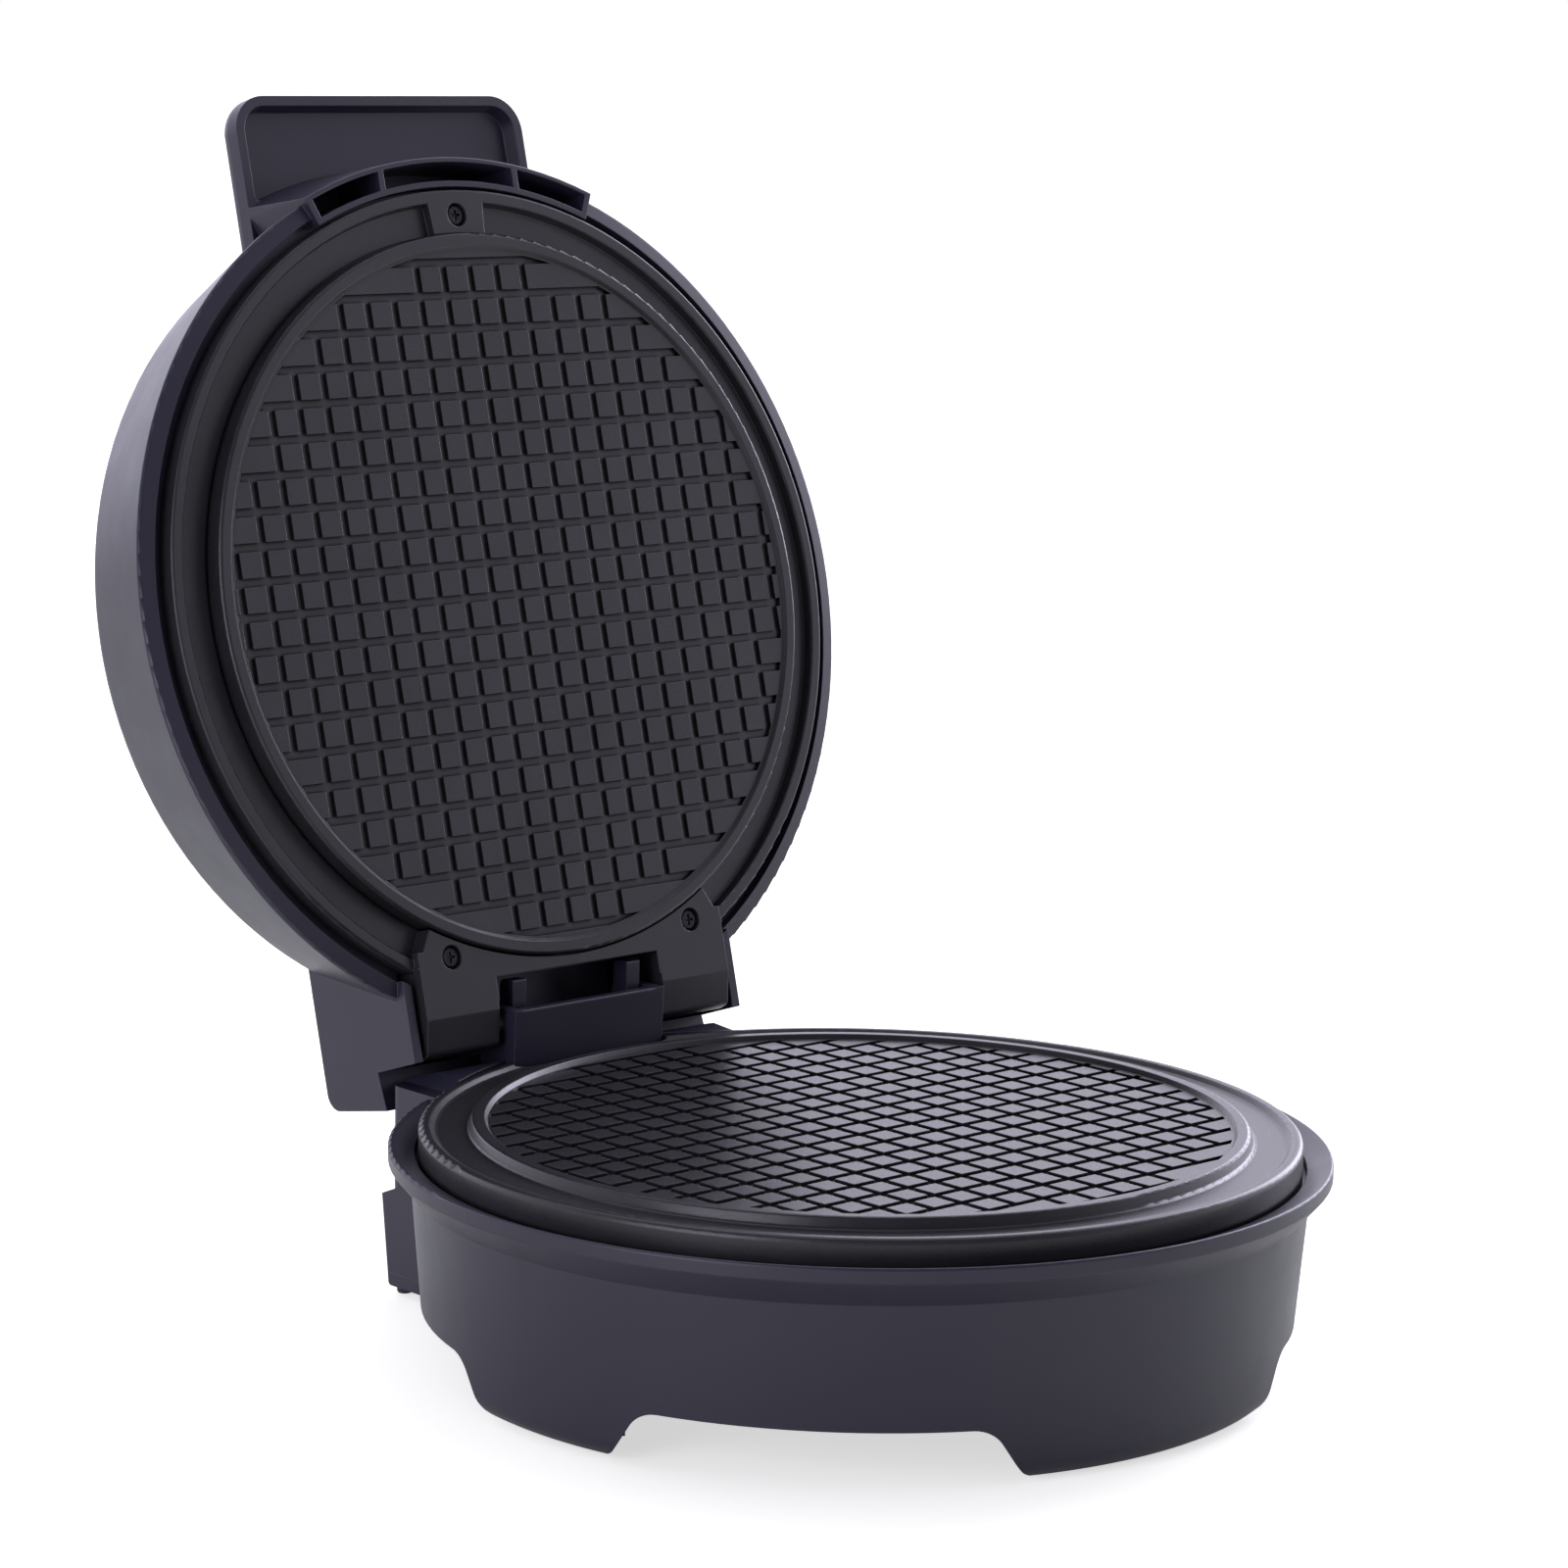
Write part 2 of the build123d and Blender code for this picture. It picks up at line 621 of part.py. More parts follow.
def tail(inset=0.0):
    """Side outline of the box behind the hinge, or of its hollow."""
    if inset:
        return [
            (-55.0, 6.0),
            (-55.0, BACK_Z + 1.5 + inset),
            (TAIL_END_Y + inset, BACK_Z + 1.5 + inset, 2.0),
            (TAIL_END_Y + inset, NOTCH_Z - inset),
            (NOTCH_Y, NOTCH_Z - inset),
            (NOTCH_Y - 4.0, 6.0),
        ]
    return [
        (-55.0, -12.0),
        (-55.0, BACK_Z + 1.5),
        (TAIL_END_Y, BACK_Z + 1.5, 4.4),
        (TAIL_TOE_Y, NOTCH_Z + 1.2),
        (NOTCH_DEEP_Y, NOTCH_Z),
        (NOTCH_Y, TAIL_FRONT_Z),
        (-86.0, TAIL_FRONT_Z),
        (-86.0, -12.0),
    ]


def handle():
    """Tray-shaped grip behind the rim, hollowed on its underside."""
    slab = outline([
        (-HANDLE_HALF, 80),
        (-HANDLE_HALF, HANDLE_END_Y, HANDLE_CORNER),
        (HANDLE_HALF, HANDLE_END_Y, HANDLE_CORNER),
        (HANDLE_HALF, 80),
    ])
    thick = HANDLE_FRONT_Z - HANDLE_BACK_Z
    grip = Pos(0, 0, HANDLE_BACK_Z) * extrude(slab, amount=thick, dir=(0, 0, 1))
    rim_edges = [edge for edge in grip.edges().group_by(Axis.Z)[0] if edge.center().Y > 81]
    grip = fillet(rim_edges, 5.0)
    half = HANDLE_HALF - RECESS_LIP
    hole = outline([
        (-half, RECESS_LOW_Y, 1.2),
        (-half, HANDLE_END_Y - RECESS_LIP, HANDLE_CORNER - RECESS_LIP),
        (half, HANDLE_END_Y - RECESS_LIP, HANDLE_CORNER - RECESS_LIP),
        (half, RECESS_LOW_Y, 1.2),
    ])
    recess = extrude(hole, amount=RECESS_DEPTH, dir=(0, 0, -1), taper=16)
    return grip, Pos(0, 0, HANDLE_FRONT_Z) * recess


def arc_block():
    """Raised stretch of rim under the handle, and the three pockets between its ribs."""
    body = rev([
        (ARC_IN_R, ARC_TOP_Z),
        (ARC_OUT_R, ARC_TOP_Z, 0.5),
        (ARC_ROOT_R, HANDLE_FRONT_Z - RECESS_DEPTH),
        (shell_r(HANDLE_FRONT_Z - RECESS_DEPTH, 1.0), HANDLE_FRONT_Z - RECESS_DEPTH),
        (ARC_IN_R, ARC_POCKET_Z - WALL),
    ], 2 * ARC_HALF_ANGLE)
    pocket = rev([
        (POCKET_IN_R, 1.0),
        (POCKET_OUT_R, 1.0),
        (POCKET_OUT_R + 0.3, ARC_POCKET_Z),
        (POCKET_IN_R, ARC_POCKET_Z),
    ], 2 * ARC_HALF_ANGLE - 1.8)
    for x in (-ARC_RIB_X, ARC_RIB_X):
        pocket -= block(x - ARC_RIB_T / 2, x + ARC_RIB_T / 2, 80, 120, -30, 10)
    return body & block(-HANDLE_HALF, HANDLE_HALF, 80, 120, BACK_Z, 0), pocket


def liner():
    """Wall that closes the space between the hinge arms, with a slot for the lead."""
    wall = block(-LINER_HALF, LINER_HALF, LINER_END_Y, LINER_FRONT_Y, LINER_Z, LINER_Z + LINER_T)
    front_y = LINER_FRONT_Y - LINER_T
    wall += block(-LINER_HALF, LINER_HALF, front_y, LINER_FRONT_Y, LINER_Z, LINER_TOP_Z)
    slot_y = AXIS_Y - LEAD_SLOT
    return wall - block(LEAD_X - LEAD_SLOT, LEAD_X + LEAD_SLOT, slot_y, AXIS_Y, LINER_Z - 1, LINER_TOP_Z)


def lid_shell():
    outer = rev([
        (0, BACK_Z),
        (shell_r(BACK_Z), BACK_Z, BACK_FILLET),
        (RIM_R, RIM_Z, 0.8),
        (RIM_IN_R, RIM_Z + 0.9),
        (0, RIM_Z + 0.9),
    ])
    box = side(tail(), TAIL_HALF)
    grip, recess = handle()
    raised, pockets = arc_block()
    cavity = rev([
        (0, BACK_Z + WALL),
        (shell_r(BACK_Z, 5.6), BACK_Z + WALL),
        (shell_r(SHELL_R_Z, WALL), SHELL_R_Z),
        (shell_r(SEAT_Z - 2.0, WALL), SEAT_Z - 2.0),
        (95.0, SEAT_Z - 2.0),
        (95.0, SEAT_Z),
        (RIM_IN_R, SEAT_Z),
        (RIM_IN_R, 8.0),
        (0, 8.0),
    ])
    shell = outer + box + (grip - recess)
    shell -= cavity
    shell += raised
    shell -= pockets
    shell -= side(tail(WALL), TAIL_HALF - WALL)
    shell += liner()
    for x, y in BEZEL_SCREWS:
        post_foot = SHELL_R_Z if y > 0 else BACK_Z + WALL + 1.0
        shell += rod(x, y, post_foot, BEZEL_SEAT_Z, 3.5)
        shell -= rod(x, y, -22.0, BEZEL_SEAT_Z + 1, 1.4)
    for x in (-LAMP_X, LAMP_X):
        shell -= rod(x, LAMP_Y, BACK_Z - 1, BACK_Z + WALL + 1, LENS_R)
    return shell


def bezel_arm():
    """One of the two hollow arms that carry the hinge's bores."""
    profile = [
        (-82.0, BOSS_Z),
        (-98.0, BOSS_Z, 1.0),
        (-106.3, -2.4, 1.6),
        (-107.3, -6.0, 2.4),
        (-105.4, -12.4, 3.0),
        (-82.0, -12.4),
    ]
    inner = [
        (-82.0, BOSS_Z - WALL),
        (-97.0, BOSS_Z - WALL),
        (-104.4, -4.6),
        (-104.9, -7.0),
        (-103.0, -20.0),
        (-82.0, -20.0),
    ]
    half = (ARM_OUT - ARM_IN) / 2
    middle = (ARM_OUT + ARM_IN) / 2
    return side(profile, half, middle) - side(inner, half - WALL, middle)


def lid_bezel():
    """Ring round the upper plate, with its screw bosses and the hinge arms in one piece."""
    hole_r = UPPER_PLATE_R + PLATE_GAP / 2
    ring = rev([
        (BEZEL_R, SEAT_Z),
        (BEZEL_R, LIP_Z, 0.7),
        (LIP_IN_R, LIP_Z, 0.4),
        (LIP_IN_R - 0.6, CHANNEL_Z),
        (hole_r, CHANNEL_Z),
        (hole_r, UPPER_SEAT_Z),
        (BEZEL_IN_R, UPPER_SEAT_Z),
        (BEZEL_IN_R, BEZEL_SEAT_Z),
        (94.6, BEZEL_SEAT_Z),
        (94.6, SEAT_Z),
    ])
    top_boss = rev([
        (hole_r, CHANNEL_Z - 1),
        (hole_r, LIP_Z),
        (LIP_IN_R + 1, LIP_Z),
        (LIP_IN_R + 1, CHANNEL_Z - 1),
    ], TOP_BOSS_ANGLE)
    low_boss = rev([
        (hole_r, CHANNEL_Z - 1),
        (hole_r, BOSS_Z),
        (BEZEL_R - 0.4, BOSS_Z, 0.6),
        (BEZEL_R - 0.4, SEAT_Z),
    ], LOW_BOSS_ANGLE)
    bezel = ring + top_boss + Rot(0, 0, 180) * low_boss
    strip = block(-ARM_OUT, ARM_OUT, -96.0, -88.4, BOSS_Z - WALL, BOSS_Z)
    bezel += strip
    for arm in both_sides(bezel_arm()):
        bezel += arm
    bezel -= block(-POCKET_HALF, POCKET_HALF, -130, POCKET_TOP_Y, -30, 10)
    bezel -= rod(0, 0, -20, UPPER_SEAT_Z, BEZEL_IN_R) + rod(0, 0, UPPER_SEAT_Z, 9, hole_r)
    bezel -= cross_rod(-60, 60, AXIS_Y, AXIS_Z, PIN_R + RUNNING_GAP)
    for x, y in BEZEL_SCREWS:
        top = LIP_Z if y > 0 else BOSS_Z
        bezel += rod(x, y, SEAT_Z, top - 1.0, 3.5) & tube_limit(hole_r)
        bezel -= rod(x, y, top - 2.2, top + 4, SCREW_HOLE_R)
        bezel -= rod(x, y, -20, top, 1.7)
    return bezel


def tube_limit(radius):
    """Everything outside a radius, to keep bosses clear of the plate."""
    return rod(0, 0, -30, 10, 130) - rod(0, 0, -30, 10, radius)


def upper_plate():
    plate = rev([
        (0, 0),
        (PATTERN_R + 0.4, 0),
        (PATTERN_R + 1.2, UPPER_LAND_Z, 0.3),
        (UPPER_PLATE_R, UPPER_LAND_Z, 0.9),
        (UPPER_PLATE_R, UPPER_SEAT_Z),
        (BEZEL_IN_R - 0.5, UPPER_SEAT_Z),
        (BEZEL_IN_R - 0.5, UPPER_BACK_Z),
        (0, UPPER_BACK_Z),
    ])
    for x, y in around(SHIELD_SCREW_R, SHIELD_SCREW_ANGLES):
        plate += rod(x, y, UPPER_BACK_Z - SHIELD_DROP, UPPER_BACK_Z + 1, 3.4)
        plate -= rod(x, y, UPPER_BACK_Z - SHIELD_DROP, UPPER_BACK_Z, 1.4)
    return plate - waffle_cut(0)


def plate_clips():
    """Three spring clips behind the bezel's ledge that keep the upper plate seated."""
    clips = []
    for angle in (60.0, 180.0, 300.0):
        clip = block(-6, 6, -86, -70, BEZEL_SEAT_Z - 1.0, BEZEL_SEAT_Z)
        clip -= block(-4, 4, -78, -72, BEZEL_SEAT_Z - 3.0, BEZEL_SEAT_Z + 1)
        clips.append(Rot(0, 0, angle) * clip)
    return group(clips)


def bezel_screws():
    return group([screw(x, y, (LIP_Z if y > 0 else BOSS_Z) - 0.6, 14.0) for x, y in BEZEL_SCREWS])


def lamp_lenses():
    """Lenses of the two indicator lamps, in holes through the lid's back."""
    lenses = []
    for x in (-LAMP_X, LAMP_X):
        lens = rod(x, LAMP_Y, BACK_Z - 0.8, BACK_Z + WALL, LENS_R - 0.05)
        lens = fillet(lens.edges().group_by(Axis.Z)[0], 0.7)
        lens += rod(x, LAMP_Y, BACK_Z + WALL, BACK_Z + WALL + 1.2, LENS_R + 1.6)
        lenses.append(lens)
    return lenses


def lamp_holder():
    """Bridge over the lenses that holds the lamps."""
    low = BACK_Z + WALL
    bridge = block(-26, 26, LAMP_Y - 8, LAMP_Y + 8, low + 12, low + 14)
    for x in (-24.5, 24.5):
        bridge += block(x - 1.5, x + 1.5, LAMP_Y - 8, LAMP_Y + 8, low, low + 12)
    for x in (-LAMP_X, LAMP_X):
        bridge -= rod(x, LAMP_Y, low, low + 20, 2.6)
    return bridge


def neon_lamps():
    """Small glow lamps standing behind the lenses."""
    low = BACK_Z + WALL + 3.0
    lamps = [rod(x, LAMP_Y, low, low + 12, 2.5) for x in (-LAMP_X, LAMP_X)]
    return group([fillet(lamp.edges().group_by(Axis.Z)[0], 1.6) for lamp in lamps])


# ---------------------------------------------------------------- assembly
def set_lid(solid):
    """Move a lid part from the lid's frame to its place on the open object."""
    closed = Pos(0, 0, PADS_GAP_Z) * Rot(180, 0, 0) * solid
    return closed.rotate(Axis((0, HINGE_Y, HINGE_Z), (1, 0, 0)), -OPEN_ANGLE)


BASE_PARTS = {
    "base_shell": base_shell,
    "cord_gland": cord_gland,
    "bottom_cover": bottom_cover,
    "cover_screws": lambda: under_screws(COVER_SCREW_R, COVER_SCREW_ANGLES, ARCH_Z, 8.0),
    "rear_cap": rear_cap,
    "foot_pads": foot_pads,
    "lower_plate": lower_plate,
    "lower_plate_screws": lambda: under_screws(LOWER_SCREW_R, LOWER_SCREW_ANGLES, PLATE_POST_Z, 11.0),
    "lower_heater": lambda: heater(LOWER_BACK_Z),
    "lower_heat_shield": lambda: heat_shield(LOWER_BACK_Z),
    "lower_shield_screws": lambda: shield_screws(LOWER_BACK_Z),
    "lower_thermostat": lambda: thermostat(LOWER_BACK_Z),
    "thermal_fuse": thermal_fuse,
    "terminal_block": terminal_block,
    "lower_lead": lower_lead,
    "hinge_pin": hinge_pin,
}
LID_PARTS = {
    "lid_shell": lid_shell,
    "lid_bezel": lid_bezel,
    "bezel_screws": bezel_screws,
    "upper_plate": upper_plate,
    "plate_clips": plate_clips,
    "upper_heater": lambda: heater(UPPER_BACK_Z),
    "upper_heat_shield": lambda: heat_shield(UPPER_BACK_Z),
    "upper_shield_screws": lambda: shield_screws(UPPER_BACK_Z),
    "upper_thermostat": lambda: thermostat(UPPER_BACK_Z),
    "upper_lead": upper_lead,
    "power_lamp_lens": lambda: lamp_lenses()[0],
    "ready_lamp_lens": lambda: lamp_lenses()[1],
    "lamp_holder": lamp_holder,
    "neon_lamps": neon_lamps,
}


def main():
    parts = {name: make() for name, make in BASE_PARTS.items()}
    parts.update({name: set_lid(make()) for name, make in LID_PARTS.items()})
    lowest = min(shape.bounding_box().min.Y for shape in parts.values())
    highest = max(shape.bounding_box().max.Y for shape in parts.values())
    shift = -(lowest + highest) / 2
    print("shift along Y", round(shift, 4), "hinge Y", round(HINGE_Y + shift, 4))
    os.makedirs("parts", exist_ok=True)
    for name, shape in parts.items():
        export_step(Pos(0, shift, 0) * shape, "parts/" + name + ".step")


if __name__ == "__main__":
    main()
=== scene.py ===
"""Round cone-waffle maker, standing open: finishes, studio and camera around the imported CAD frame."""

import json

import bpy
from mathutils import Matrix, Vector

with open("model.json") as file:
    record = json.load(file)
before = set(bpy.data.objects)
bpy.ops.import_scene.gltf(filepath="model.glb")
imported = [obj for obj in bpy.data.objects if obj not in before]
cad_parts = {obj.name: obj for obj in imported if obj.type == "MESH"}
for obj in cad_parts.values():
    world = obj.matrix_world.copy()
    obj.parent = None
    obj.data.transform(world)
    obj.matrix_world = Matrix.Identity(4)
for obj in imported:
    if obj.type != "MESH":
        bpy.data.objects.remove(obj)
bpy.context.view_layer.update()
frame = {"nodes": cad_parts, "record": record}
MM = 0.001

# ---------------------------------------------------------------- camera
CAMERA_AT = Vector((-0.69837, -0.76568, 0.30070))
CAMERA_FORWARD = Vector((0.67039, 0.72321, -0.16595))
CAMERA_RIGHT = Vector((0.7353, -0.67751, 0.0178))
LENS_MM = 105.44
SENSOR_MM = 36.0
FAR_LIMIT = 50.0

# ---------------------------------------------------------------- studio
WHITE = (1.0, 1.0, 1.0, 1.0)
FLOOR_HALF = 14.0
FLOOR_COLOUR = (0.88, 0.90, 0.80, 1.0)
FLOOR_GLOW = 0.62
FLOOR_SPILL = 0.08
FLOOR_ROUGHNESS = 0.7
FLOOR_SPECULAR = 0.2
LAMP_TINT = (0.95, 0.93, 1.10)
WORLD_TINT = (0.95, 0.93, 1.10, 1.0)
VIEWER_RISE = 0.15
# Each fade: where it starts and ends, then its strength there.
BEHIND_TO_FRONT = (-0.95, 0.9, 1.8, 0.24)
HORIZON_TO_ZENITH = (0.35, 0.95, 1.0, 0.4)
# Each lamp: name, place, target, size of the panel in metres, power in watts.
LAMPS = (
    ("key_left", (-1.8, -0.3, 0.5), (0, 0, 0.1), (1.1, 1.3), 15.0),
    ("edge_right", (1.7, 0.3, 0.8), (0, 0, 0.1), (1.0, 1.4), 21.0),
    ("top", (0.2, 0.6, 1.9), (0, 0, 0), (1.6, 1.6), 5.0),
)

# ---------------------------------------------------------------- shading quality
BEVEL_SAMPLES = 6
CREASE_SAMPLES = 6


def make_camera():
    """Camera at the viewing angle, level with the axes given above."""
    data = bpy.data.cameras.new("camera")
    data.lens = LENS_MM
    data.sensor_width = SENSOR_MM
    data.clip_end = FAR_LIMIT
    camera = bpy.data.objects.new("camera", data)
    bpy.context.scene.collection.objects.link(camera)
    back = -CAMERA_FORWARD.normalized()
    up = back.cross(CAMERA_RIGHT).normalized()
    right = up.cross(back).normalized()
    turn = Matrix((right, up, back)).transposed().to_4x4()
    camera.matrix_world = Matrix.Translation(CAMERA_AT) @ turn
    bpy.context.scene.camera = camera


def area_light(name, at, target, size, power):
    """Rectangular panel lamp that faces its target."""
    data = bpy.data.lights.new(name, "AREA")
    data.shape = "RECTANGLE"
    data.size, data.size_y = size
    data.energy = power
    data.color = LAMP_TINT
    light = bpy.data.objects.new(name, data)
    bpy.context.scene.collection.objects.link(light)
    light.location = at
    light.rotation_mode = "QUATERNION"
    light.rotation_quaternion = (Vector(target) - Vector(at)).to_track_quat("-Z", "Y")


def fade_node(nodes, spread):
    """Smooth change of strength from one end of a range to the other."""
    fade = nodes.new("ShaderNodeMapRange")
    fade.interpolation_type = "SMOOTHSTEP"
    for socket, number in zip(("From Min", "From Max", "To Min", "To Max"), spread):
        fade.inputs[socket].default_value = number
    return fade


def make_world():
    """White for the camera; for the object, brightest behind it and dim above and before it."""
    world = bpy.data.worlds.new("studio")
    bpy.context.scene.world = world
    world.use_nodes = True
    nodes, links = world.node_tree.nodes, world.node_tree.links
    nodes.clear()
    direction = nodes.new("ShaderNodeTexCoord").outputs["Generated"]

    facing = nodes.new("ShaderNodeVectorMath")
    facing.operation = "DOT_PRODUCT"
    towards_viewer = Vector((-CAMERA_FORWARD.x, -CAMERA_FORWARD.y, VIEWER_RISE))
    facing.inputs[1].default_value = towards_viewer.normalized()
    around = fade_node(nodes, BEHIND_TO_FRONT)
    links.new(direction, facing.inputs[0])
    links.new(facing.outputs["Value"], around.inputs["Value"])

    height = nodes.new("ShaderNodeSeparateXYZ")
    upward = fade_node(nodes, HORIZON_TO_ZENITH)
    links.new(direction, height.inputs["Vector"])
    links.new(height.outputs["Z"], upward.inputs["Value"])

    strength = nodes.new("ShaderNodeMath")
    strength.operation = "MULTIPLY"
    links.new(around.outputs["Result"], strength.inputs[0])
    links.new(upward.outputs["Result"], strength.inputs[1])
    lit = nodes.new("ShaderNodeBackground")
    lit.inputs["Color"].default_value = WORLD_TINT
    links.new(strength.outputs["Value"], lit.inputs["Strength"])
    seen = nodes.new("ShaderNodeBackground")
    seen.inputs["Color"].default_value = WHITE

    mix = nodes.new("ShaderNodeMixShader")
    out = nodes.new("ShaderNodeOutputWorld")
    links.new(nodes.new("ShaderNodeLightPath").outputs["Is Camera Ray"], mix.inputs["Fac"])
    links.new(lit.outputs["Background"], mix.inputs[1])
    links.new(seen.outputs["Background"], mix.inputs[2])
    links.new(mix.outputs["Shader"], out.inputs["Surface"])


def make_floor():
    """Pale ground plane that reads as white, with only a soft shadow."""
    mesh = bpy.data.meshes.new("floor")
    half = FLOOR_HALF
    corners = [(-half, -half, 0.0), (half, -half, 0.0), (half, half, 0.0), (-half, half, 0.0)]
    mesh.from_pydata(corners, [], [(0, 1, 2, 3)])
    floor = bpy.data.objects.new("floor", mesh)
    bpy.context.scene.collection.objects.link(floor)
    tree = Tree("floor")
    tree.set("Base Color", FLOOR_COLOUR)
    tree.set("Roughness", FLOOR_ROUGHNESS)
    tree.set("Specular IOR Level", FLOOR_SPECULAR)
    tree.set("Emission Color", WHITE)
    seen = tree.nodes.new("ShaderNodeLightPath").outputs["Is Camera Ray"]
    glow = tree.span(seen, FLOOR_SPILL, FLOOR_GLOW, 0.0, 1.0)
    tree.link(glow, tree.shader.inputs["Emission Strength"])
    mesh.materials.append(tree.material)


def make_studio():
    make_world()
    make_floor()
    for lamp in LAMPS:
        area_light(*lamp)
    bpy.context.scene.view_settings.view_transform = "Standard"


# ---------------------------------------------------------------- materials
class Tree:
    """A material with one Principled shader, and short ways to add nodes to it."""

    def __init__(self, name):
        self.material = bpy.data.materials.new(name)
        self.material.use_nodes = True
        self.nodes = self.material.node_tree.nodes
        self.links = self.material.node_tree.links
        self.shader = self.nodes["Principled BSDF"]
        self.where = self.nodes.new("ShaderNodeTexCoord").outputs["Object"]

    def set(self, socket, value):
        self.shader.inputs[socket].default_value = value

    def link(self, output, socket):
        self.links.new(output, socket)

    def noise(self, size_mm, detail=2.0, roughness=0.5, stretch=(1, 1, 1)):
        """Noise whose features are about size_mm across."""
        place = self.nodes.new("ShaderNodeMapping")
        place.inputs["Scale"].default_value = stretch
        texture = self.nodes.new("ShaderNodeTexNoise")
        texture.inputs["Scale"].default_value = 1.0 / (size_mm * MM)
        texture.inputs["Detail"].default_value = detail
        texture.inputs["Roughness"].default_value = roughness
        self.link(self.where, place.inputs["Vector"])
        self.link(place.outputs["Vector"], texture.inputs["Vector"])
        return texture.outputs["Fac"]

    def cells(self, size_mm):
        """Distance to the nearest of scattered points about size_mm apart."""
        texture = self.nodes.new("ShaderNodeTexVoronoi")
        texture.inputs["Scale"].default_value = 1.0 / (size_mm * MM)
        self.link(self.where, texture.inputs["Vector"])
        return texture.outputs["Distance"]

    def span(self, value, low, high, from_low=0.3, from_high=0.7):
        """A value spread between two limits."""
        node = self.nodes.new("ShaderNodeMapRange")
        node.inputs["From Min"].default_value = from_low
        node.inputs["From Max"].default_value = from_high
        node.inputs["To Min"].default_value = low
        node.inputs["To Max"].default_value = high
        self.link(value, node.inputs["Value"])
        return node.outputs["Result"]

    def mix(self, factor, first, second):
        """Blend of two colours; each is a colour or a node's output."""
        node = self.nodes.new("ShaderNodeMix")
        node.data_type = "RGBA"
        self.link(factor, node.inputs["Factor"])
        for socket, value in ((node.inputs[6], first), (node.inputs[7], second)):
            if isinstance(value, tuple):
                socket.default_value = value
            else:
                self.link(value, socket)
        return node.outputs[2]

    def edges(self, radius_mm):
        """Rounded normal, and a mask that is 1 along sharp edges."""
        bevel = self.nodes.new("ShaderNodeBevel")
        bevel.samples = BEVEL_SAMPLES
        bevel.inputs["Radius"].default_value = radius_mm * MM
        flat = self.nodes.new("ShaderNodeNewGeometry")
        dot = self.nodes.new("ShaderNodeVectorMath")
        dot.operation = "DOT_PRODUCT"
        self.link(bevel.outputs["Normal"], dot.inputs[0])
        self.link(flat.outputs["Normal"], dot.inputs[1])
        return bevel.outputs["Normal"], self.span(dot.outputs["Value"], 1.0, 0.0, 0.80, 0.995)

    def creases(self, reach_mm):
        """A mask that is 1 where walls and corners close in within reach_mm."""
        node = self.nodes.new("ShaderNodeAmbientOcclusion")
        node.samples = CREASE_SAMPLES
        node.inputs["Distance"].default_value = reach_mm * MM
        return self.span(node.outputs["AO"], 1.0, 0.0, 0.45, 0.95)

    def bump(self, height, strength, depth_mm, normal=None):
        """Normal disturbed by a height, on top of another normal if one is given."""
        node = self.nodes.new("ShaderNodeBump")
        node.inputs["Strength"].default_value = strength
        node.inputs["Distance"].default_value = depth_mm * MM
        self.link(height, node.inputs["Height"])
        if normal is not None:
            self.link(normal, node.inputs["Normal"])
        return node.outputs["Normal"]


def rgb(red, green, blue):
    """Opaque colour in linear light."""
    return (red, green, blue, 1.0)


def moulded(name, dark, light, edge_highlight, rough, grain_mm, depth_mm):
    """Spark-eroded moulded plastic: fine grain, faint cloudy shade, and a painted highlight along sharp
    edges.
    """
    tree = Tree(name)
    rounded, edge = tree.edges(0.35)
    cloud = tree.noise(38.0, detail=3.0)
    body = tree.mix(tree.span(cloud, 0.0, 1.0), dark, light)
    # Sharp edges take a lighter colour here: a painted highlight.
    tree.link(tree.mix(edge, body, edge_highlight), tree.shader.inputs["Base Color"])
    grain = tree.noise(grain_mm, detail=2.0, roughness=0.6)
    patch = tree.noise(14.0, detail=4.0, roughness=0.65)
    tree.link(tree.span(patch, rough[0], rough[1]), tree.shader.inputs["Roughness"])
    fine = tree.bump(grain, 0.55, depth_mm, rounded)
    wave = tree.bump(tree.noise(46.0, detail=1.0), 0.25, 0.25, fine)
    tree.link(wave, tree.shader.inputs["Normal"])
    return tree.material


def coated_plate(name):
    """Cast aluminium under a sprayed non-stick coat: sandy, with sparkle, a painted highlight on its edges
    and painted shade darkening its grooves and corners.
    """
    tree = Tree(name)
    rounded, edge = tree.edges(0.22)
    cloud = tree.noise(22.0, detail=4.0)
    body = tree.mix(tree.span(cloud, 0.0, 1.0), rgb(0.013, 0.0125, 0.015), rgb(0.021, 0.0205, 0.024))
    flecks = tree.span(tree.cells(0.55), 1.0, 0.0, 0.02, 0.16)
    body = tree.mix(flecks, body, rgb(0.075, 0.075, 0.082))
    # Sharp groove and pad edges take a lighter colour here: a painted highlight.
    body = tree.mix(edge, body, rgb(0.06, 0.06, 0.066))
    # Grooves and corners are darkened almost to black and lose most of their reflection: painted shade from
    # an occlusion mask.
    crease_shade = tree.creases(1.3)
    tree.link(tree.mix(crease_shade, body, rgb(0.002, 0.002, 0.002)), tree.shader.inputs["Base Color"])
    tree.link(tree.span(crease_shade, 0.6, 0.08, 0.0, 1.0), tree.shader.inputs["Specular IOR Level"])
    sand = tree.noise(0.42, detail=3.0, roughness=0.7)
    tree.link(tree.span(sand, 0.26, 0.42), tree.shader.inputs["Roughness"])
    fine = tree.bump(sand, 0.5, 0.035, rounded)
    wave = tree.bump(tree.noise(9.0, detail=2.0), 0.2, 0.06, fine)
    tree.link(wave, tree.shader.inputs["Normal"])
    tree.set("Metallic", 0.15)
    return tree.material


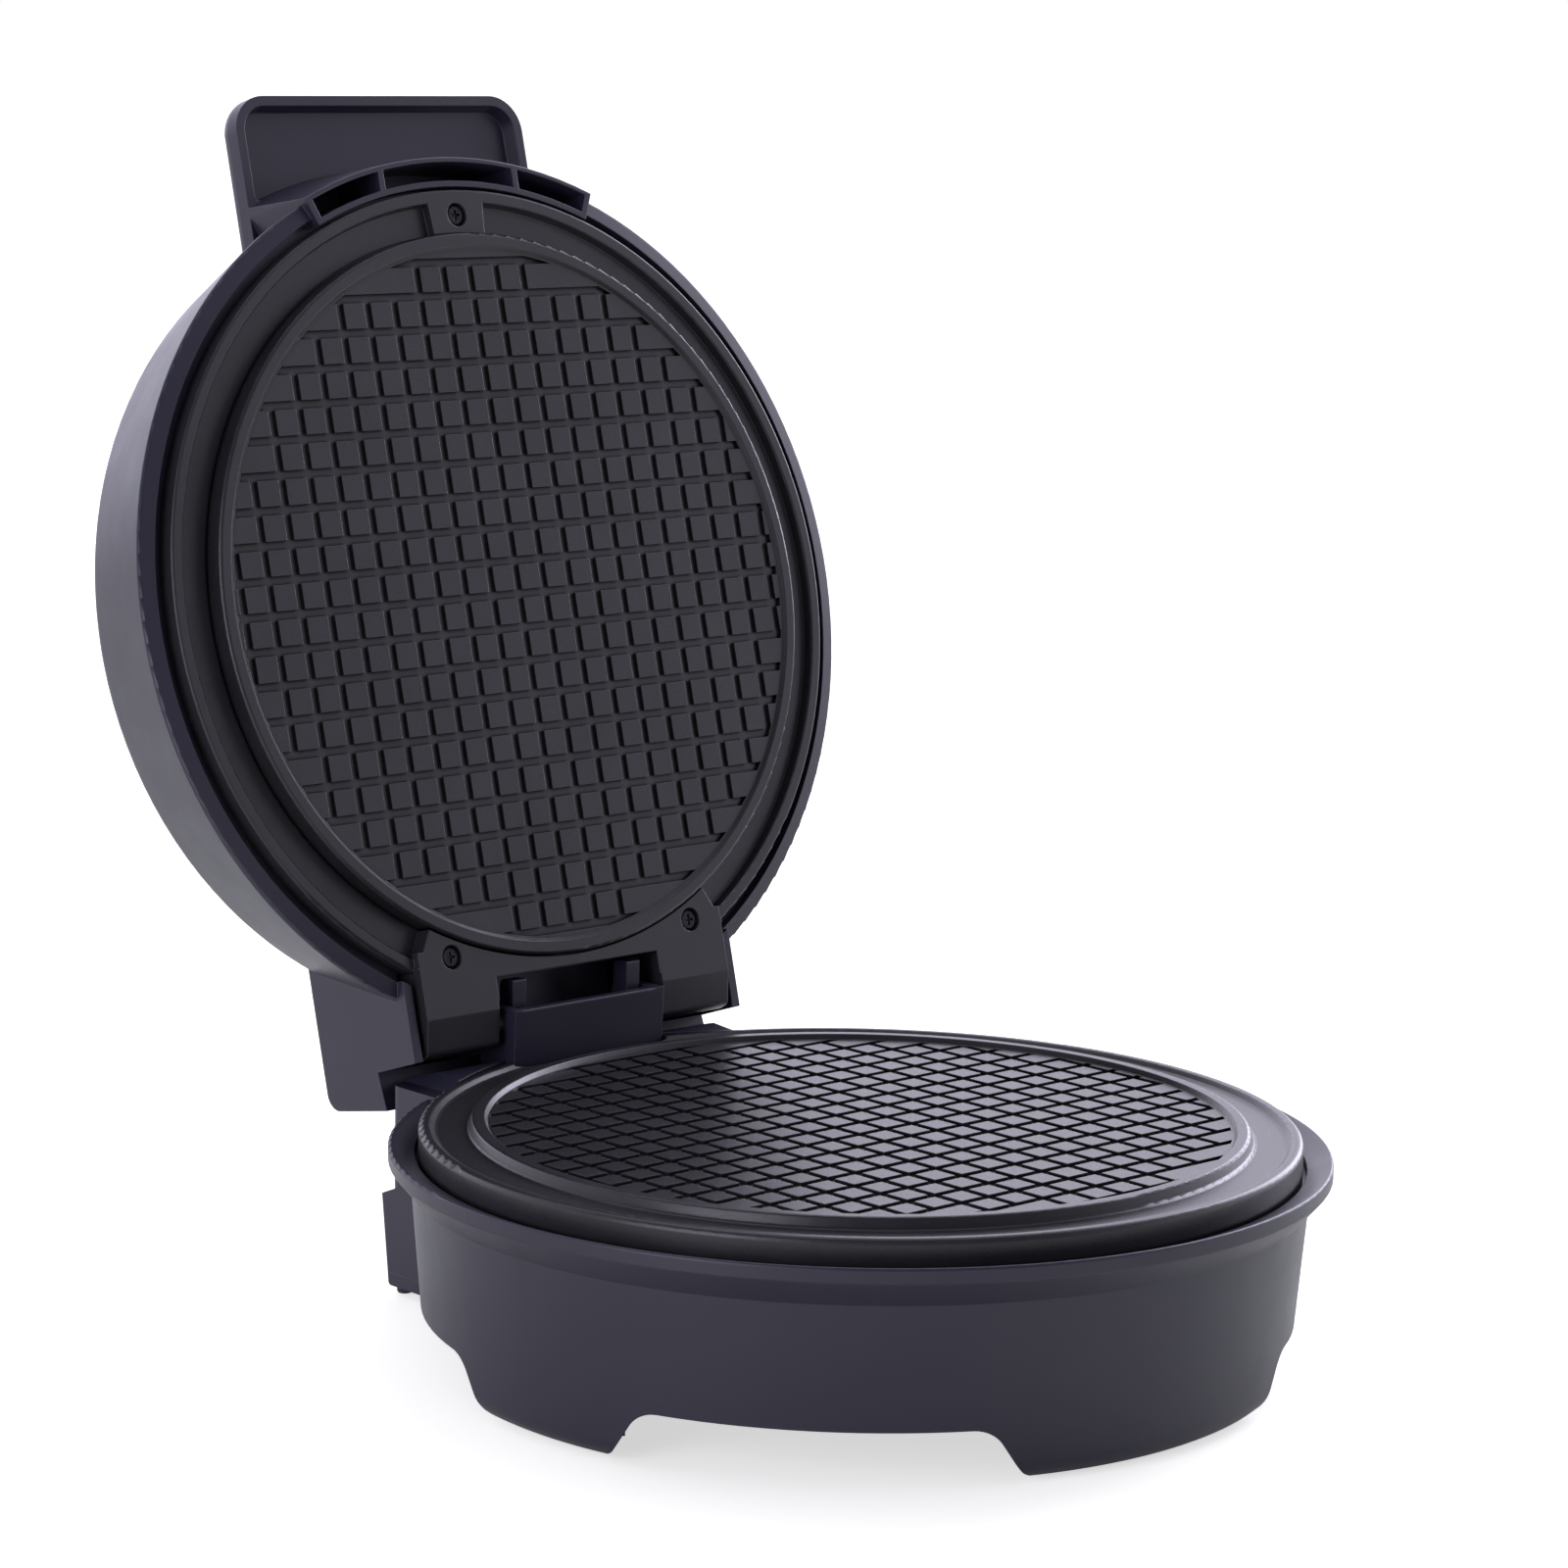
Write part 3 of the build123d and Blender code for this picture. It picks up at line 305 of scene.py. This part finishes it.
def blackened_steel(name):
    """Phosphated screw steel with light scuffs where the driver turned."""
    tree = Tree(name)
    rounded, edge = tree.edges(0.12)
    scuff = tree.noise(0.5, detail=5.0, roughness=0.7)
    body = tree.mix(tree.span(scuff, 0.0, 1.0, 0.45, 0.75), rgb(0.018, 0.018, 0.02), rgb(0.06, 0.06, 0.065))
    # Sharp edges take a lighter colour here: a painted highlight.
    tree.link(tree.mix(edge, body, rgb(0.16, 0.16, 0.17)), tree.shader.inputs["Base Color"])
    tree.link(tree.span(scuff, 0.28, 0.5), tree.shader.inputs["Roughness"])
    tree.link(tree.bump(scuff, 0.4, 0.02, rounded), tree.shader.inputs["Normal"])
    tree.set("Metallic", 0.85)
    return tree.material


def bare_metal(name, dark, light, rough, stretch=(1, 1, 12)):
    """Drawn or rolled metal with fine lines along its working direction."""
    tree = Tree(name)
    rounded, edge = tree.edges(0.15)
    lines = tree.noise(1.6, detail=5.0, roughness=0.7, stretch=stretch)
    body = tree.mix(tree.span(lines, 0.0, 1.0), dark, light)
    # Sharp edges take a near-white colour here: a painted highlight.
    tree.link(tree.mix(edge, body, rgb(0.8, 0.8, 0.8)), tree.shader.inputs["Base Color"])
    tree.link(tree.span(lines, rough[0], rough[1]), tree.shader.inputs["Roughness"])
    tree.link(tree.bump(lines, 0.3, 0.02, rounded), tree.shader.inputs["Normal"])
    tree.set("Metallic", 1.0)
    return tree.material


def soft_rubber(name):
    """Dusty moulded rubber."""
    tree = Tree(name)
    rounded, edge = tree.edges(0.3)
    dust = tree.noise(2.5, detail=5.0, roughness=0.7)
    body = tree.mix(tree.span(dust, 0.0, 1.0), rgb(0.012, 0.012, 0.012), rgb(0.035, 0.034, 0.033))
    # Sharp edges take a lighter colour here: a painted highlight.
    tree.link(tree.mix(edge, body, rgb(0.06, 0.058, 0.056)), tree.shader.inputs["Base Color"])
    tree.link(tree.span(dust, 0.65, 0.9), tree.shader.inputs["Roughness"])
    tree.link(tree.bump(tree.noise(0.3), 0.3, 0.03, rounded), tree.shader.inputs["Normal"])
    return tree.material


def lens(name, deep, bright):
    """Tinted clear plastic lens, frosted on its inner face."""
    tree = Tree(name)
    frost = tree.noise(0.6, detail=3.0)
    tree.link(tree.mix(tree.span(frost, 0.0, 1.0), deep, bright), tree.shader.inputs["Base Color"])
    tree.link(tree.span(frost, 0.08, 0.2), tree.shader.inputs["Roughness"])
    tree.link(tree.bump(frost, 0.15, 0.02), tree.shader.inputs["Normal"])
    tree.set("Transmission Weight", 0.55)
    tree.set("IOR", 1.49)
    return tree.material


def woven_sleeve(name):
    """Glass-fibre sleeve of the inner leads."""
    tree = Tree(name)
    weave = tree.noise(0.5, detail=2.0, stretch=(3, 1, 1))
    tone = tree.mix(tree.span(weave, 0.0, 1.0), rgb(0.45, 0.42, 0.33), rgb(0.75, 0.72, 0.62))
    tree.link(tone, tree.shader.inputs["Base Color"])
    tree.link(tree.span(weave, 0.6, 0.85), tree.shader.inputs["Roughness"])
    tree.link(tree.bump(weave, 0.6, 0.1), tree.shader.inputs["Normal"])
    return tree.material


def make_finishes():
    """One finish for each of the record's material slots."""
    # The third colour given to each moulded finish is its painted highlight along sharp edges.
    housing = moulded("housing", rgb(0.0185, 0.0171, 0.033), rgb(0.0205, 0.019, 0.036),
                      rgb(0.05, 0.048, 0.066), (0.36, 0.42), 0.35, 0.02)
    bezel = moulded("bezel_plastic", rgb(0.017, 0.0163, 0.0195), rgb(0.023, 0.022, 0.026),
                    rgb(0.055, 0.055, 0.06), (0.32, 0.42), 0.35, 0.018)
    under = moulded("under_plastic", rgb(0.014, 0.014, 0.015), rgb(0.02, 0.02, 0.021),
                    rgb(0.04, 0.04, 0.042), (0.45, 0.6), 0.6, 0.04)
    white = moulded("white_plastic", rgb(0.68, 0.67, 0.62), rgb(0.76, 0.75, 0.71),
                    rgb(0.85, 0.85, 0.83), (0.35, 0.5), 0.5, 0.02)
    plate = coated_plate("plate_coating")
    zinc = bare_metal("zinc_steel", rgb(0.48, 0.49, 0.5), rgb(0.62, 0.62, 0.6), (0.22, 0.38))
    heater = bare_metal("heater_steel", rgb(0.16, 0.13, 0.11), rgb(0.32, 0.29, 0.27), (0.35, 0.55))
    shield = bare_metal("shield_metal", rgb(0.66, 0.66, 0.67), rgb(0.8, 0.8, 0.81), (0.18, 0.32))
    fuse = bare_metal("fuse_metal", rgb(0.5, 0.48, 0.42), rgb(0.68, 0.66, 0.6), (0.25, 0.4))
    glass = lens("lamp_glass", rgb(0.75, 0.7, 0.66), rgb(0.92, 0.9, 0.88))
    return {
        "housing": housing,
        "bezel_plastic": bezel,
        "under_plastic": under,
        "white_plastic": white,
        "soft_rubber": soft_rubber("soft_rubber"),
        "plate_coating": plate,
        "black_steel": blackened_steel("black_steel"),
        "zinc_steel": zinc,
        "heater_steel": heater,
        "shield_metal": shield,
        "fuse_metal": fuse,
        "lead_sleeve": woven_sleeve("lead_sleeve"),
        "red_lens": lens("red_lens", rgb(0.35, 0.01, 0.008), rgb(0.6, 0.03, 0.02)),
        "green_lens": lens("green_lens", rgb(0.02, 0.22, 0.05), rgb(0.05, 0.42, 0.1)),
        "lamp_glass": glass,
    }


def dress(finishes):
    """Give every CAD node the finish of its slot."""
    for entry in frame["record"]["subparts"]:
        node = frame["nodes"][entry["node"]]
        node.data.materials.clear()
        node.data.materials.append(finishes[entry["material_slot"]])


make_camera()
make_studio()
dress(make_finishes())
